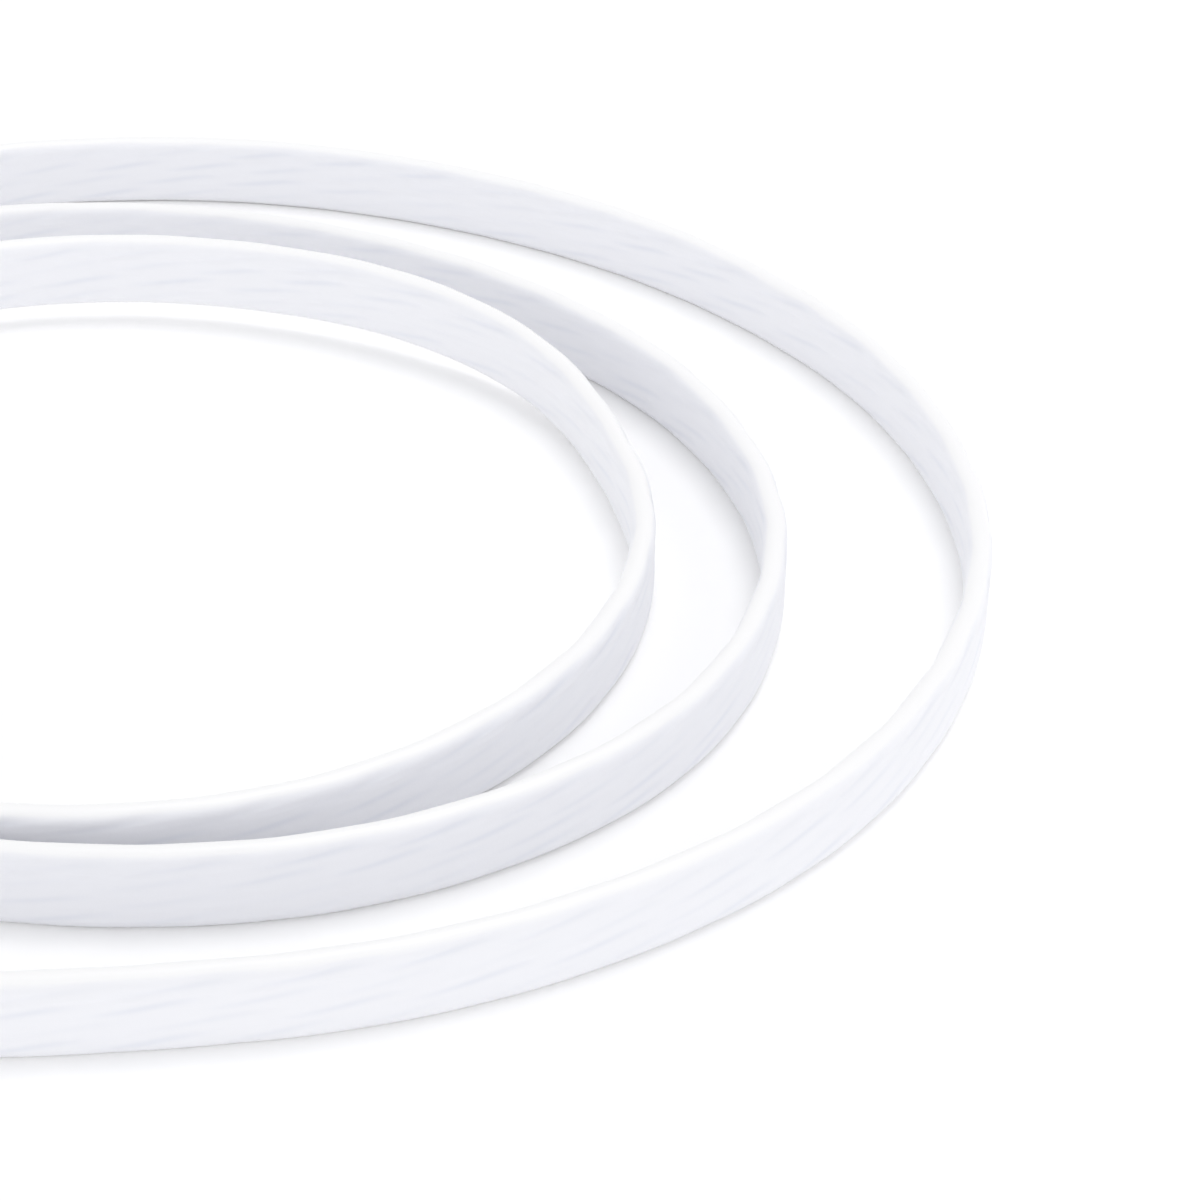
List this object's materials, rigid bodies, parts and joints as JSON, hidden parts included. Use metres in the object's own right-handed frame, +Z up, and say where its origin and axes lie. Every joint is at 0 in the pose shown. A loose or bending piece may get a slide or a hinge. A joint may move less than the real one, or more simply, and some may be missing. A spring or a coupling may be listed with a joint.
{
  "type": "ethernet patch cable",
  "caption": "Flat white shielded network patch cable in a loose flat coil, with a latched modular plug and ribbed boot at each end.",
  "frame": {"origin": "On the floor, midway between the two plugs, which lie on their sides half a turn apart.", "axes": "+Z is up. -Y faces the picture's camera and +X is its right. The coil lies to the +X side of the origin."},
  "size_m": [0.1854, 0.1512, 0.0126],
  "materials": {
    "jacket": "satin white jacket",
    "boot": "satin white moulding",
    "clear_plastic": "clear polycarbonate",
    "contact": "gold plated",
    "shell": "nickel plated",
    "core": "bare copper",
    "drain": "tinned copper",
    "foil": "bright foil",
    "wire_white_orange": "white insulation with an orange stripe",
    "wire_orange": "orange insulation",
    "wire_white_green": "white insulation with a green stripe",
    "wire_green": "green insulation",
    "wire_blue": "blue insulation",
    "wire_white_blue": "white insulation with a blue stripe",
    "wire_white_brown": "white insulation with a brown stripe",
    "wire_brown": "brown insulation"
  },
  "bodies": {
    "cable": {"cable_coil": "jacket", "cable_inner_lead": "jacket", "cable_outer_lead": "jacket", "plug_a_housing": "clear_plastic", "plug_a_load_bar": "clear_plastic", "plug_a_contacts": "contact", "plug_a_shell": "shell", "plug_a_boot": "boot", "plug_a_cores": "core", "plug_a_wire_white_orange": "wire_white_orange", "plug_a_wire_orange": "wire_orange", "plug_a_wire_white_green": "wire_white_green", "plug_a_wire_green": "wire_green", "plug_a_wire_blue": "wire_blue", "plug_a_wire_white_blue": "wire_white_blue", "plug_a_wire_white_brown": "wire_white_brown", "plug_a_wire_brown": "wire_brown", "plug_a_pair_foils": "foil", "plug_a_drain_wire": "drain", "plug_a_cable_end": "jacket", "plug_b_housing": "clear_plastic", "plug_b_load_bar": "clear_plastic", "plug_b_contacts": "contact", "plug_b_shell": "shell", "plug_b_boot": "boot", "plug_b_cores": "core", "plug_b_wire_white_orange": "wire_white_orange", "plug_b_wire_orange": "wire_orange", "plug_b_wire_white_green": "wire_white_green", "plug_b_wire_green": "wire_green", "plug_b_wire_blue": "wire_blue", "plug_b_wire_white_blue": "wire_white_blue", "plug_b_wire_white_brown": "wire_white_brown", "plug_b_wire_brown": "wire_brown", "plug_b_pair_foils": "foil", "plug_b_drain_wire": "drain", "plug_b_cable_end": "jacket"},
    "latch_a": {"plug_a_latch": "clear_plastic"},
    "latch_b": {"plug_b_latch": "clear_plastic"}
  },
  "joints": [
    {"name": "latch_a_press", "type": "hinge", "parent": "cable", "child": "latch_a", "pos_m": [0.04169, -0.01995, 0.0063], "axis": [0, 0, 1], "range_deg": [0, 9.5], "stiffness_Nm_per_rad": 0.4},
    {"name": "latch_b_press", "type": "hinge", "parent": "cable", "child": "latch_b", "pos_m": [-0.04169, 0.01995, 0.0063], "axis": [0, 0, 1], "range_deg": [0, 9.5], "stiffness_Nm_per_rad": 0.4}
  ]
}
